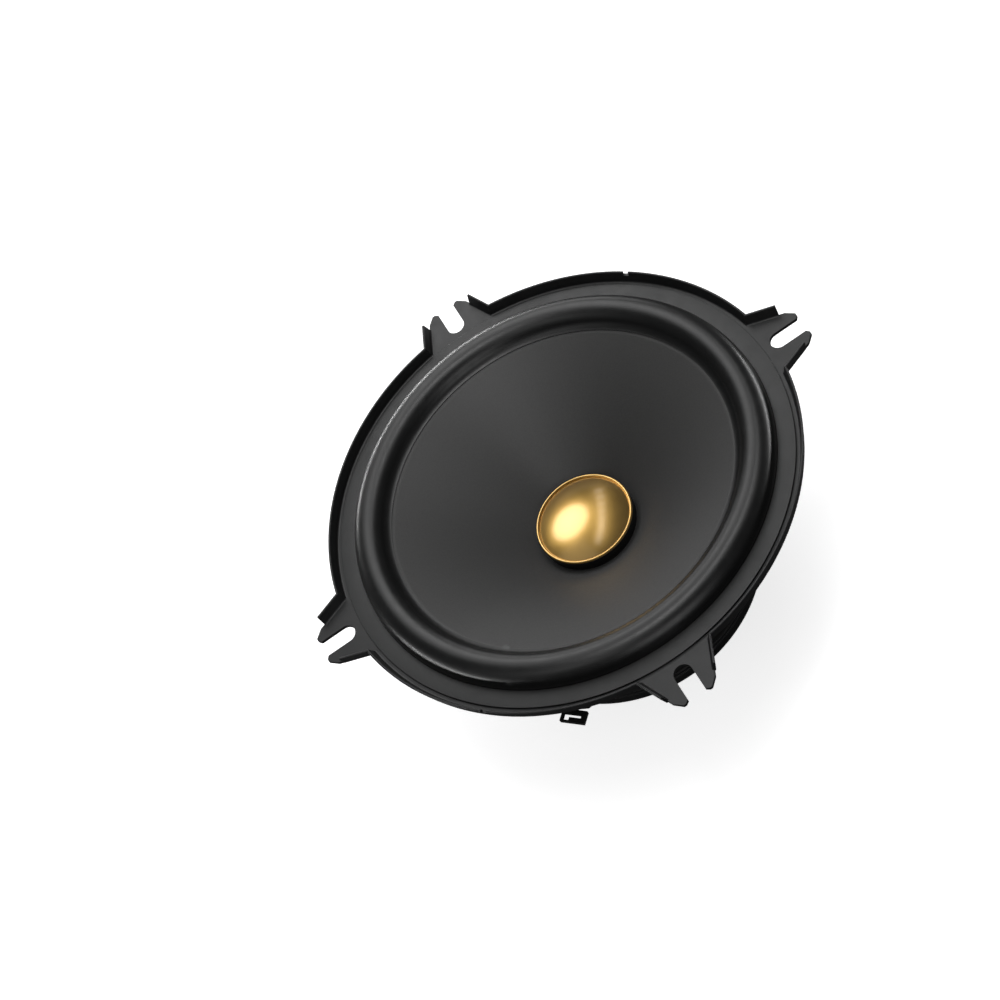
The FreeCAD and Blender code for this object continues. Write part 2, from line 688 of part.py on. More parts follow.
# ---------------------------------------------------------------- motor

TOP_PLATE_Z = "(floor_z + sheet_t)"
MAGNET_Z = "(floor_z + sheet_t + top_plate_t)"
BACK_PLATE_Z = "(floor_z + sheet_t + top_plate_t + magnet_t)"
BACK_Z = "(floor_z + sheet_t + top_plate_t + magnet_t + back_plate_t)"
BOARD_TOP = "-ledge_z - sheet_t"
BOARD_LOW = "-ledge_z - sheet_t - board_t"


def make_motor():
    body = ring("top_plate", "gap_outer_r", "plate_r", f"-{MAGNET_Z}", f"-{TOP_PLATE_Z}")
    seat = add_sketch(body, "rivet_seat_plan", "XY_Plane", turned(0, -size(TOP_PLATE_Z)))
    add_circle(seat, "rivet_ring_r", "0", "rivet_r")
    first = pocket(body, "rivet_seat", seat, "rivet_deep")
    around(body, "rivet_seats", [first], "rivet_count")

    revolve(
        new_body("magnet"),
        "magnet_ring",
        [
            ("magnet_bore_r", f"-{BACK_PLATE_Z}"),
            ("magnet_r - magnet_chamfer", f"-{BACK_PLATE_Z}"),
            ("magnet_r", f"-{BACK_PLATE_Z} + magnet_chamfer"),
            ("magnet_r", f"-{MAGNET_Z} - magnet_chamfer"),
            ("magnet_r - magnet_chamfer", f"-{MAGNET_Z}"),
            ("magnet_bore_r", f"-{MAGNET_Z}"),
        ],
    )
    revolve(
        new_body("yoke"),
        "yoke_pole",
        [
            ("vent_r", f"-{BACK_Z} + screen_seat_deep"),
            ("screen_r", f"-{BACK_Z} + screen_seat_deep"),
            ("screen_r", f"-{BACK_Z}"),
            ("plate_r - magnet_chamfer", f"-{BACK_Z}"),
            ("plate_r", f"-{BACK_Z} + magnet_chamfer"),
            ("plate_r", f"-{BACK_PLATE_Z}"),
            ("pole_r", f"-{BACK_PLATE_Z}"),
            ("pole_r", f"-{TOP_PLATE_Z} + pole_proud - magnet_chamfer"),
            ("pole_r - magnet_chamfer", f"-{TOP_PLATE_Z} + pole_proud"),
            ("vent_r", f"-{TOP_PLATE_Z} + pole_proud"),
        ],
    )
    seat = f"-{BACK_Z} + screen_seat_deep"
    revolve(
        new_body("vent_screen"),
        "screen_disc",
        box_outline("0", "screen_r", f"{seat} - screen_t", seat),
    )
    cover_low = f"-{BACK_Z} - cover_t"
    cover_in = "magnet_r + cover_gap"
    revolve(
        new_body("magnet_cover"),
        "cover_cup",
        [
            ("cover_hole_r", cover_low),
            ("cover_r - cover_round", cover_low, "cover_round", -1),
            ("cover_r", f"{cover_low} + cover_round"),
            ("cover_r", f"{cover_low} + cover_len - cover_round"),
            ("cover_r - cover_t / 2", f"{cover_low} + cover_len"),
            (cover_in, f"{cover_low} + cover_len"),
            (cover_in, f"-{BACK_Z}"),
            ("cover_hole_r", f"-{BACK_Z}"),
        ],
    )


def stacked(name, cylinders, offsets):
    """Rivets as Part cylinders fused into one node: (radius, low, high) expressions at (x, y) expressions."""
    solids = []
    for i, (x, y) in enumerate(offsets):
        pieces = []
        for j, (radius, low, high) in enumerate(cylinders):
            part = doc.addObject("Part::Cylinder", f"{name}_{i}_{j}")
            part.setExpression("Radius", bound(radius))
            part.setExpression("Height", bound(f"({high}) - ({low})"))
            part.setExpression("Placement.Base.x", bound(x))
            part.setExpression("Placement.Base.y", bound(y))
            part.setExpression("Placement.Base.z", bound(low))
            pieces.append(part)
        rivet = doc.addObject("Part::MultiFuse", f"{name}_{i}")
        rivet.Shapes = pieces
        solids.append(rivet)
    if len(solids) == 1:
        group = solids[0]
    else:
        group = doc.addObject("Part::Compound", name)
        group.Links = solids
    group.Label = name
    NODES.append(group)
    return group


def make_rivets():
    radius = "rivet_ring_r"
    spots = [(radius, "0"), ("0", radius), (f"-{radius}", "0"), ("0", f"-{radius}")]
    stacked(
        "basket_rivets",
        [
            ("rivet_head_r", "-floor_z", "-floor_z + rivet_head_t"),
            ("rivet_r", "-floor_z - sheet_t - rivet_deep", "-floor_z"),
        ],
        spots,
    )
    stacked(
        "board_rivet",
        [
            ("board_rivet_head_r", "-ledge_z", "-ledge_z + tab_rivet_head_t"),
            ("board_rivet_r", BOARD_LOW, "-ledge_z"),
            ("board_rivet_head_r", f"{BOARD_LOW} - tab_rivet_head_t", BOARD_LOW),
        ],
        [("tongue_x", "-tab_rivet_y")],
    )
    blade_low = f"{BOARD_LOW} - tab_t"
    stacked(
        "tab_rivets",
        [
            ("tab_rivet_head_r", BOARD_TOP, f"{BOARD_TOP} + tab_rivet_head_t"),
            ("tab_rivet_r", blade_low, BOARD_TOP),
            ("tab_rivet_head_r", f"{blade_low} - tab_rivet_head_t", blade_low),
        ],
        [("tongue_x - tab_spread", "-tab_rivet_y"), ("tongue_x + tab_spread", "-tab_rivet_y")],
    )


# ---------------------------------------------------------------- terminals and leads


def make_board():
    """Insulating board under the basket's tongue, with a slotted finger that points outward."""
    low = size(BOARD_LOW)
    body = new_body("terminal_board")
    plan = add_sketch(body, "board_plan", "XY_Plane", turned(0, low))
    draw(
        plan,
        [
            ("board_left_x", "-board_in_y"),
            ("board_left_x", "-board_out_y"),
            ("finger_left_x", "-board_out_y"),
            ("finger_left_x", "-finger_end_y"),
            ("finger_right_x", "-finger_end_y"),
            ("finger_right_x", "-finger_top_y"),
            ("finger_root_x", "-finger_top_y"),
            ("finger_root_x", "-finger_gap_y"),
            ("board_nose_x", "-board_nose_y"),
            ("board_chin_x", "-board_out_y"),
            ("board_right_x", "-board_right_y"),
            ("board_right_x", "-board_in_y"),
        ],
    )
    pad(body, "board_plate", plan, "board_t")
    slot = add_sketch(body, "slot_plan", "XY_Plane", turned(0, low))
    draw(
        slot,
        [
            ("slot_left_x", "-slot_in_y"),
            ("slot_left_x", "-slot_end_y"),
            ("slot_step_x", "-slot_end_y"),
            ("slot_step_x", "-slot_arm_y"),
            ("slot_right_x", "-slot_arm_y"),
            ("slot_right_x", "-slot_in_y"),
        ],
    )
    pocket(body, "finger_slot", slot, "board_t", reverse=True)
    holes = [
        ("tongue_x", "board_rivet_r"),
        ("tongue_x - tab_spread", "tab_rivet_r"),
        ("tongue_x + tab_spread", "tab_rivet_r"),
    ]
    for number, (x, radius) in enumerate(holes):
        hole = add_sketch(body, f"board_hole_{number}_plan", "XY_Plane", turned(0, low))
        add_circle(hole, x, "-tab_rivet_y", radius)
        pocket(body, f"board_hole_{number}", hole, "board_t", reverse=True)


def make_tab(name, x, wide):
    """An L-shaped blade: a flat leg under the board and a leg bent down beside the motor for the plug."""
    body = new_body(name)
    side = add_sketch(body, name + "_side", "YZ_Plane", turned(0, size(x)))
    draw(
        side,
        [
            ("-tab_out_y", BOARD_LOW),
            ("-tab_out_y", f"{BOARD_LOW} - tab_t"),
            ("-tab_in_y - tab_t", f"{BOARD_LOW} - tab_t"),
            ("-tab_in_y - tab_t", "-tab_end_z"),
            ("-tab_in_y", "-tab_end_z"),
            ("-tab_in_y", f"{BOARD_LOW} - tab_t", "tab_t", -1),
            ("-tab_in_y - tab_t", BOARD_LOW),
        ],
    )
    blade = pad(body, name + "_blade", side, wide)
    blade.Midplane = True
    doc.recompute()
    hole = add_sketch(body, name + "_hole_plan", "XY_Plane", turned(0, size(BOARD_LOW)))
    add_circle(hole, x, "-tab_rivet_y", "tab_rivet_r")
    pocket(body, name + "_hole", hole, "tab_t")


def joint_place(side):
    """Centre of a solder pad's lower face; side is -1 or 1."""
    angle = math.radians(size("joint_angle") + side * size("joint_spread"))
    reach = size("joint_ring_r")
    return FreeCAD.Vector(reach * math.cos(angle), reach * math.sin(angle), -size("joint_low_z"))


def make_joints():
    """Two round solder pads whose upper ends follow the back of the cone."""
    cone = doc.getObject("cone").Shape
    solids = []
    for side in (-1, 1):
        place = joint_place(side)
        post = Part.makeCylinder(size("joint_r"), size("cone_neck_z"), place)
        cut = post.cut(cone)
        solids.append(min(cut.Solids, key=lambda piece: piece.BoundBox.ZMin))
    node = doc.addObject("Part::Feature", "coil_lead_joints")
    node.Shape = Part.makeCompound(solids)
    node.Label = "coil_lead_joints"
    NODES.append(node)


def make_lead(name, side):
    """A round lead that starts on its blade's rivet, rises over the window's edge, sags and ends under its
    pad."""
    radius, gap = size("lead_r"), size("lead_gap")
    x = size("tongue_x") + side * size("tab_spread")
    head_top = size(BOARD_TOP) + size("tab_rivet_head_t")
    start = FreeCAD.Vector(x, -size("tab_rivet_y"), head_top + radius + gap)
    joint = joint_place(side)
    end = FreeCAD.Vector(joint.x, joint.y, joint.z - radius - gap)
    run = end - start
    rise = start + run * size("lead_rise_share")
    rise.z = -size("lead_rise_z")
    sag = start + run * size("lead_sag_share")
    sag.z = -size("lead_sag_z")
    curve = Part.BSplineCurve()
    curve.interpolate([start, rise, sag, end])
    path = Part.Wire([curve.toShape()])
    tangent = curve.tangent(curve.FirstParameter)[0]
    ring_edge = Part.Wire([Part.makeCircle(radius, start, tangent)])
    node = doc.addObject("Part::Feature", name)
    node.Shape = path.makePipeShell([ring_edge], True, False)
    node.Label = name
    NODES.append(node)


# ---------------------------------------------------------------- the whole woofer


def build():
    make_basket()
    make_landing_ring()
    make_surround()
    make_cone()
    make_cap()
    make_moving_rings()
    make_spider()
    make_motor()
    make_rivets()
    make_board()
    make_tab("terminal_tab_positive", "tongue_x - tab_spread", "tab_wide")
    make_tab("terminal_tab_negative", "tongue_x + tab_spread", "tab_narrow")
    doc.recompute()
    make_joints()
    make_lead("lead_positive", -1)
    make_lead("lead_negative", 1)
    doc.recompute()


def check_and_write():
    """Stops if any object failed; otherwise writes each node to its own file."""
    for item in doc.Objects:
        if "Invalid" in item.State or "Error" in item.State:
            raise RuntimeError(f"{item.Name} failed: {item.State}")
    for node in NODES:
        if node.Shape.isNull() or not node.Shape.isValid():
            raise RuntimeError(f"{node.Label} has no valid shape")
    os.makedirs("parts", exist_ok=True)
    for node in NODES:
        node.Shape.exportStep(f"parts/{node.Label}.step")
        box = node.Shape.BoundBox
        print(
            f"{node.Label}: {len(node.Shape.Solids)} solid(s), {node.Shape.Volume:.1f} mm3,"
            f" z {box.ZMin:.2f} to {box.ZMax:.2f}"
        )


build()
check_and_write()
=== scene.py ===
"""Looks of the car mid-woofer: round parts turned in mesh code, procedural materials,
floor, light and camera.

Metres, in the CAD frame: +Z out of the cone, origin in the middle of the flange's rear face.
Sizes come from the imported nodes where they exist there. MM * x is x millimetres.
"""

import math

import bmesh
import bpy
import numpy as np
from mathutils import Matrix, Vector


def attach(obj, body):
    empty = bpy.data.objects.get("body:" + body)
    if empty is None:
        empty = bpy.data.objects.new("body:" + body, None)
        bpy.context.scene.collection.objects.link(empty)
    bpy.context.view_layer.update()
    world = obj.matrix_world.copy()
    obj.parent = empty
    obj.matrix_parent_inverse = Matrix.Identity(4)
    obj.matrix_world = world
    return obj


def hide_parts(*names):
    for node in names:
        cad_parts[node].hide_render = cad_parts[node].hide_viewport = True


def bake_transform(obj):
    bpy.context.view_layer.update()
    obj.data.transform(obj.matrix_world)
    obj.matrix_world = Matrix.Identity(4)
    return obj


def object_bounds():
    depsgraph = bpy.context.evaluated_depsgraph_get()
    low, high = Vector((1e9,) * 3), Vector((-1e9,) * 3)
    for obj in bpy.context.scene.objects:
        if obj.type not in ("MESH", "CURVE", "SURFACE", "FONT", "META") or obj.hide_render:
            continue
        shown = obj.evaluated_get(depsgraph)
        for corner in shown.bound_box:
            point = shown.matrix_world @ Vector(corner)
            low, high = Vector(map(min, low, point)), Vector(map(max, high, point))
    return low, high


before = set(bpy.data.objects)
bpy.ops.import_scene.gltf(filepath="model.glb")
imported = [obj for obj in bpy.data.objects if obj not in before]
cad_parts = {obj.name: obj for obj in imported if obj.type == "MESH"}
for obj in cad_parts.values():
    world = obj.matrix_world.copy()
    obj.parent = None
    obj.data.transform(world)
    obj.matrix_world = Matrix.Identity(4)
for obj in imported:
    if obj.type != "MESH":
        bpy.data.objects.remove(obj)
CAD_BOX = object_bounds()

MM = 0.001
TURN = 2 * math.pi
FRAME_BODY = "frame"
MOVING_BODY = "moving_system"
SEGMENTS = 384
# a radius below this counts as lying on the axis
ON_AXIS = 1e-7


def span(node):
    """Inner radius, outer radius, lowest and highest height of a CAD node, all about the Z axis."""
    points = np.array([v.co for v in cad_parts[node].data.vertices])
    radii = np.hypot(points[:, 0], points[:, 1])
    return radii.min(), radii.max(), points[:, 2].min(), points[:, 2].max()


# ---------------------------------------------------------------- mesh helpers


def add_object(name, mesh):
    """Puts a mesh into the scene as an object, shaded smooth except at sharp edges."""
    piece = bpy.data.objects.new(name, mesh)
    bpy.context.scene.collection.objects.link(piece)
    mesh.shade_smooth()
    mesh.set_sharp_from_angle(angle=math.radians(38))
    return piece


def arc(centre, radius, start, end, steps):
    """Points of a circular arc in the (radius, height) plane, angles in degrees."""
    angles = np.radians(np.linspace(start, end, steps + 1))
    return [(centre[0] + radius * math.cos(a), centre[1] + radius * math.sin(a)) for a in angles]


def rounded(corners, steps=4):
    """Rounds the corners of a closed section. Each corner is (r, z) or (r, z, rounding radius).
    A rounding takes up to nearly half of each side beside it."""
    nearly_half = 0.48
    outline = []
    count = len(corners)
    for i, corner in enumerate(corners):
        here = Vector(corner[:2])
        if len(corner) < 3 or corner[2] <= 0:
            outline.append(tuple(here))
            continue
        before = Vector(corners[i - 1][:2]) - here
        after = Vector(corners[(i + 1) % count][:2]) - here
        half = before.angle(after) / 2
        room = min(before.length, after.length) * nearly_half
        reach = min(corner[2] / math.tan(half), room)
        p = here + before.normalized() * reach
        q = here + after.normalized() * reach
        for k in range(steps + 1):
            f = k / steps
            outline.append(tuple(p * (1 - f) ** 2 + here * (2 * f * (1 - f)) + q * f**2))
    return outline


def lathe(name, section, angles=None, closed=True, shift=None):
    """Turns a (radius, height) section about Z into a closed shell. An open section, with closed
    False, starts and ends on the axis, where a point becomes one vertex. shift(radius, height,
    angle) may move a point, for a local tab."""
    if angles is None:
        angles = np.linspace(0, TURN, SEGMENTS, endpoint=False)
    mesh = bpy.data.meshes.new(name)
    verts, faces, index = [], [], []
    for r, z in section:
        if r < ON_AXIS:
            index.append([len(verts)] * len(angles))
            verts.append((0.0, 0.0, z))
            continue
        row = []
        for a in angles:
            rr, zz = (r, z) if shift is None else shift(r, z, a)
            row.append(len(verts))
            verts.append((rr * math.cos(a), rr * math.sin(a), zz))
        index.append(row)
    rows = len(section)
    for i in range(rows if closed else rows - 1):
        a, b = index[i], index[(i + 1) % rows]
        for j in range(len(angles)):
            k = (j + 1) % len(angles)
            quad = [a[j], a[k], b[k], b[j]]
            face = [v for n, v in enumerate(quad) if v != quad[n - 1]]
            if len(face) >= 3:
                faces.append(face)
    mesh.from_pydata(verts, [], faces)
    tidy_normals(mesh)
    return add_object(name, mesh)


def tidy_normals(mesh):
    """Makes all faces of a closed shell point outward."""
    shell = bmesh.new()
    shell.from_mesh(mesh)
    bmesh.ops.recalc_face_normals(shell, faces=shell.faces)
    shell.to_mesh(mesh)
    shell.free()


def ring_rows(inner, outer, low, high, segments=96):
    """Vertices and faces of a ring with a square section."""
    corners = [(inner, low), (outer, low), (outer, high), (inner, high)]
    angles = np.linspace(0, TURN, segments, endpoint=False)
    verts = [(r * math.cos(a), r * math.sin(a), z) for r, z in corners for a in angles]
    faces = []
    sides = len(corners)
    for i in range(sides):
        m = (i + 1) % sides
        for j in range(segments):
            k = (j + 1) % segments
            faces.append((i * segments + j, i * segments + k, m * segments + k, m * segments + j))
    return verts, faces


def tube(line, radius, sides):
    """Vertices and faces of a closed round tube along a line of points."""
    points = [Vector(p) for p in line]
    verts, faces = [], []
    count = len(points)
    for i, point in enumerate(points):
        ahead = points[min(i + 1, count - 1)] - points[max(i - 1, 0)]
        side = ahead.cross(Vector((0, 0, 1)))
        side = side.normalized() if side.length > 1e-9 else Vector((1, 0, 0))
        up = side.cross(ahead).normalized()
        for k in range(sides):
            a = TURN * k / sides
            verts.append(tuple(point + side * (radius * math.cos(a)) + up * (radius * math.sin(a))))
    for i in range(count - 1):
        for k in range(sides):
            m = (k + 1) % sides
            faces.append((i * sides + k, i * sides + m, (i + 1) * sides + m, (i + 1) * sides + k))
    faces.append(tuple(range(sides))[::-1])
    faces.append(tuple(range((count - 1) * sides, count * sides)))
    return verts, faces


def spun(section, x, y, segments=40):
    """Vertices and faces of a section turned about an upright axis at (x, y), where it starts
    and ends."""
    verts, faces, rows = [], [], []
    for r, z in section:
        if r < ON_AXIS:
            rows.append([len(verts)] * segments)
            verts.append((x, y, z))
            continue
        rows.append([len(verts) + j for j in range(segments)])
        for j in range(segments):
            a = TURN * j / segments
            verts.append((x + r * math.cos(a), y + r * math.sin(a), z))
    for above, below in zip(rows, rows[1:]):
        for j in range(segments):
            k = (j + 1) % segments
            quad = [above[j], above[k], below[k], below[j]]
            face = tuple(v for n, v in enumerate(quad) if v != quad[n - 1])
            if len(face) >= 3:
                faces.append(face)
    return verts, faces


def spline(knots, steps):
    """Points of a smooth curve through the knots (a natural cubic spline over chord length)."""
    knots = np.array(knots)
    t = np.concatenate([[0], np.cumsum(np.linalg.norm(np.diff(knots, axis=0), axis=1))])
    gap = np.diff(t)
    count = len(knots)
    system = np.eye(count)
    right = np.zeros((count, 3))
    for i in range(1, count - 1):
        system[i, i - 1 : i + 2] = gap[i - 1], 2 * (gap[i - 1] + gap[i]), gap[i]
        slopes = np.diff(knots[i - 1 : i + 2], axis=0) / gap[i - 1 : i + 1, None]
        right[i] = 6 * (slopes[1] - slopes[0])
    bend = np.linalg.solve(system, right)
    line = []
    for u in np.linspace(0, t[-1], steps + 1):
        i = min(np.searchsorted(t, u, side="right") - 1, count - 2)
        a, b = (t[i + 1] - u) / gap[i], (u - t[i]) / gap[i]
        curve = ((a**3 - a) * bend[i] + (b**3 - b) * bend[i + 1]) * gap[i] ** 2 / 6
        line.append(a * knots[i] + b * knots[i + 1] + curve)
    return line


def join_meshes(name, parts):
    """One mesh from (vertices, faces) lists."""
    verts, faces = [], []
    for v, f in parts:
        base = len(verts)
        verts.extend(v)
        faces.extend([tuple(base + i for i in face) for face in f])
    mesh = bpy.data.meshes.new(name)
    mesh.from_pydata(verts, [], faces)
    tidy_normals(mesh)
    return add_object(name, mesh)


def stand_for(piece, node, body):
    """The piece takes a CAD node's place and rides its body."""
    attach(piece, body)
    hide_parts(node)


def bend_between(piece, node, weight):
    """The piece takes a CAD node's place. weight(x, y) gives each point's share of the movement, 0 on the
    frame; the shares are worked out but kept nowhere, so the piece does not bend."""
    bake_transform(piece)
    points = np.array([v.co for v in piece.data.vertices])
    share = np.clip(weight(points[:, 0], points[:, 1]), 0, 1).astype(np.float32)
    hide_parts(node)


def eased(t):
    """Smooth step from 0 to 1."""
    t = np.clip(t, 0, 1)
    return t * t * (3 - 2 * t)


# ---------------------------------------------------------------- materials


class Shader:
    """Small wrapper that adds nodes and links to a material's tree."""

    def __init__(self, name):
        self.material = bpy.data.materials.new(name)
        self.material.use_nodes = True
        self.tree = self.material.node_tree
        self.tree.nodes.clear()
        self.out = self.add("ShaderNodeOutputMaterial")
        self.base = self.add("ShaderNodeBsdfPrincipled")
        self.link(self.base.outputs["BSDF"], self.out.inputs["Surface"])
        self.place = self.add("ShaderNodeTexCoord").outputs["Object"]

    def add(self, kind, **settings):
        node = self.tree.nodes.new(kind)
        for key, value in settings.items():
            setattr(node, key, value)
        return node

    def link(self, source, target):
        self.tree.links.new(source, target)

    def set(self, **values):
        """Sets the base shader's inputs, with _ for a space in their names."""
        for key, value in values.items():
            self.base.inputs[key.replace("_", " ")].default_value = value

    def noise(self, scale, detail=4.0, roughness=0.6, vector=None):
        """Noise with a given number of waves a metre."""
        node = self.add("ShaderNodeTexNoise")
        node.inputs["Scale"].default_value = scale
        node.inputs["Detail"].default_value = detail
        node.inputs["Roughness"].default_value = roughness
        self.link(self.place if vector is None else vector, node.inputs["Vector"])
        return node.outputs["Fac"]

    def ramp(self, source, stops):
        """Colour ramp of (position, colour) stops; a colour may be a single grey value."""
        node = self.add("ShaderNodeValToRGB")
        while len(node.color_ramp.elements) < len(stops):
            node.color_ramp.elements.new(0.5)
        for element, (position, colour) in zip(node.color_ramp.elements, stops):
            element.position = position
            element.color = (colour, colour, colour, 1) if isinstance(colour, float) else (*colour, 1)
        self.link(source, node.inputs["Fac"])
        return node.outputs["Color"]

    def math(self, operation, a, b=0.0):
        """Result of an operation on one or two values, each a number or a source."""
        node = self.add("ShaderNodeMath", operation=operation)
        for socket, value in zip(node.inputs, (a, b)):
            if isinstance(value, (int, float)):
                socket.default_value = value
            else:
                self.link(value, socket)
        return node.outputs[0]

    def colour(self, source):
        self.link(source, self.base.inputs["Base Color"])

    def roughness(self, source):
        self.link(source, self.base.inputs["Roughness"])

    def bump(self, *layers):
        """Bump from (height source, strength, distance in metres) layers, chained."""
        normal = None
        for height, strength, distance in layers:
            node = self.add("ShaderNodeBump")
            node.inputs["Strength"].default_value = strength
            node.inputs["Distance"].default_value = distance
            self.link(height, node.inputs["Height"])
            if normal is not None:
                self.link(normal, node.inputs["Normal"])
            normal = node.outputs["Normal"]
        self.link(normal, self.base.inputs["Normal"])

    def from_axis(self):
        """Distance from the Z axis."""
        parts = self.add("ShaderNodeSeparateXYZ")
        self.link(self.place, parts.inputs[0])
        x, y = parts.outputs["X"], parts.outputs["Y"]
        squares = self.math("ADD", self.math("MULTIPLY", x, x), self.math("MULTIPLY", y, y))
        return self.math("SQRT", squares)


def matte(name, low, high, rough, grain_scale, grain_height, specular=0.5):
    """Dark matte plastic or coating: slight tone variation between two greys or colours, fine
    grain (waves a metre and height) and uneven roughness."""
    s = Shader(name)
    s.set(Specular_IOR_Level=specular)
    s.colour(s.ramp(s.noise(60, 3), [(0.3, low), (0.7, high)]))
    s.roughness(s.ramp(s.noise(240, 4), [(0.3, rough - 0.05), (0.7, rough + 0.05)]))
    s.bump((s.noise(grain_scale, 2), 0.35, grain_height))
    return s.material


def rubber_material():
    """Matte butyl rubber: almost no diffuse tone, a soft satin reflection and fine mould texture."""
    s = Shader("surround_rubber")
    s.set(Specular_IOR_Level=0.5, Sheen_Weight=0.03, Sheen_Roughness=0.4)
    s.colour(s.ramp(s.noise(90, 4), [(0.3, (0.0028, 0.003, 0.003)), (0.75, (0.0045, 0.0047, 0.0046))]))
    s.roughness(s.ramp(s.noise(400, 4), [(0.3, 0.31), (0.7, 0.38)]))
    s.bump((s.noise(4200, 2), 0.15, 0.00001))
    return s.material


def cone_material():
    """Injection-moulded polymer with a fine mica fleck and faint turned rings, satin to the light."""
    s = Shader("cone_polymer")
    s.set(Specular_IOR_Level=0.5, Anisotropic=0.7, Anisotropic_Rotation=0.25)
    fleck = s.noise(2600, 3, 0.7)
    s.colour(s.ramp(fleck, [(0.35, (0.026, 0.0258, 0.0254)), (0.7, (0.034, 0.0338, 0.0332))]))
    s.roughness(s.ramp(s.noise(1500, 3), [(0.3, 0.44), (0.7, 0.50)]))
    tangent = s.add("ShaderNodeTangent", direction_type="RADIAL", axis="Z")
    s.link(tangent.outputs[0], s.base.inputs["Tangent"])
    rings_a_metre = 2400
    rings = s.math("SINE", s.math("MULTIPLY", s.from_axis(), TURN * rings_a_metre))
    s.bump((s.noise(5200, 2), 0.2, 0.00001), (rings, 0.12, 0.000004))
    return s.material


def gold_material():
    """Vacuum-metallised dome under a clear lacquer."""
    s = Shader("gold_metallised")
    s.set(Metallic=1.0, Coat_Weight=1.0, Coat_Roughness=0.17, Coat_IOR=1.75)
    s.colour(s.ramp(s.noise(120, 2), [(0.3, (0.66, 0.395, 0.085)), (0.7, (0.70, 0.42, 0.095))]))
    s.roughness(s.ramp(s.noise(300, 1), [(0.3, 0.30), (0.7, 0.32)]))
    return s.material


def metal(name, tones, tone_noise, rough, rough_noise, grain, coat=0.0):
    """Bare metal: two tones and a roughness range, each mixed by a noise (its settings), and a
    grain of (waves a metre, detail, strength, height)."""
    s = Shader(name)
    s.set(Metallic=1.0, Coat_Weight=coat)
    s.colour(s.ramp(s.noise(*tone_noise), [(0.3, tones[0]), (0.7, tones[1])]))
    s.roughness(s.ramp(s.noise(*rough_noise), [(0.3, rough[0]), (rough[2], rough[1])]))
    s.bump((s.noise(*grain[:2]), *grain[2:]))
    return s.material


def spider_cloth():
    """Resin-treated cloth: threads along and across, over a warm brown."""
    s = Shader("spider_cloth")
    s.set(Specular_IOR_Level=0.3, Sheen_Weight=0.2)
    parts = s.add("ShaderNodeSeparateXYZ")
    s.link(s.place, parts.inputs[0])
    threads_a_metre = 1600
    warp = s.math("SINE", s.math("MULTIPLY", parts.outputs["X"], TURN * threads_a_metre))
    weft = s.math("SINE", s.math("MULTIPLY", parts.outputs["Y"], TURN * threads_a_metre))
    weave = s.math("MAXIMUM", warp, weft)
    s.colour(s.ramp(weave, [(0.0, (0.16, 0.09, 0.03)), (0.9, (0.50, 0.31, 0.12))]))
    s.roughness(s.ramp(s.noise(300, 3), [(0.3, 0.6), (0.7, 0.75)]))
    s.bump((weave, 0.6, 0.00008))
    return s.material


MATERIALS = {
    "steel_black": matte(
        "black_coated_steel", (0.007, 0.0072, 0.0074), (0.011, 0.0112, 0.0115), 0.44, 2600, 0.00003
    ),
    "ring": matte("ring_matte", (0.010, 0.0104, 0.0103), (0.014, 0.0145, 0.0143), 0.45, 5200, 0.00002),
    "rubber": rubber_material(),
    "cone": cone_material(),
    "gold": gold_material(),
    "steel": metal(
        "plated_steel",
        ((0.36, 0.36, 0.37), (0.55, 0.555, 0.56)),
        (220, 5, 0.7),
        (0.3, 0.5, 0.75),
        (500, 5),
        (1800, 4, 0.2, 0.00003),
    ),
    "tin": metal(
        "tinned_brass",
        ((0.62, 0.58, 0.48), (0.78, 0.75, 0.66)),
        (500, 4),
        (0.22, 0.36, 0.7),
        (1400, 4),
        (2600, 3, 0.15, 0.00002),
    ),
    "ferrite": matte("ferrite", (0.018, 0.018, 0.019), (0.035, 0.035, 0.036), 0.55, 1500, 0.00008),
    "cover": matte("cover_rubber", (0.006, 0.006, 0.006), (0.011, 0.011, 0.011), 0.5, 2200, 0.00004),
    "board": matte("board_plastic", (0.006, 0.006, 0.006), (0.010, 0.010, 0.010), 0.45, 3000, 0.00003),
    "collar": matte("collar_black", (0.004, 0.004, 0.004), (0.007, 0.007, 0.007), 0.4, 3000, 0.00002, 0.4),
    "glue": matte("cured_glue", (0.01, 0.009, 0.008), (0.03, 0.025, 0.02), 0.25, 900, 0.0001, 0.6),
    "cloth": spider_cloth(),
    "gauze": matte("vent_gauze", (0.01, 0.01, 0.01), (0.02, 0.02, 0.02), 0.5, 3000, 0.00003),
    "braid": metal(
        "lead_braid",
        ((0.70, 0.52, 0.33), (0.85, 0.72, 0.52)),
        (1500, 4),
        (0.25, 0.4, 0.7),
        (3000, 3),
        (6000, 2, 0.3, 0.00003),
    ),
    "copper": metal(
        "enamelled_copper",
        ((0.55, 0.20, 0.07), (0.70, 0.28, 0.10)),
        (800, 3),
        (0.25, 0.35, 0.7),
        (1500, 3),
        (5000, 2, 0.2, 0.00002),
        0.5,
    ),
    "foil": metal(
        "former_foil",
        ((0.5, 0.5, 0.52), (0.62, 0.62, 0.63)),
        (400, 3),
        (0.3, 0.42, 0.7),
        (900, 3),
        (2500, 2, 0.15, 0.00002),
    ),
}


def finish_with(piece, material):
    """Gives a piece one material."""
    piece.data.materials.clear()
    piece.data.materials.append(MATERIALS[material])


# ---------------------------------------------------------------- moving system


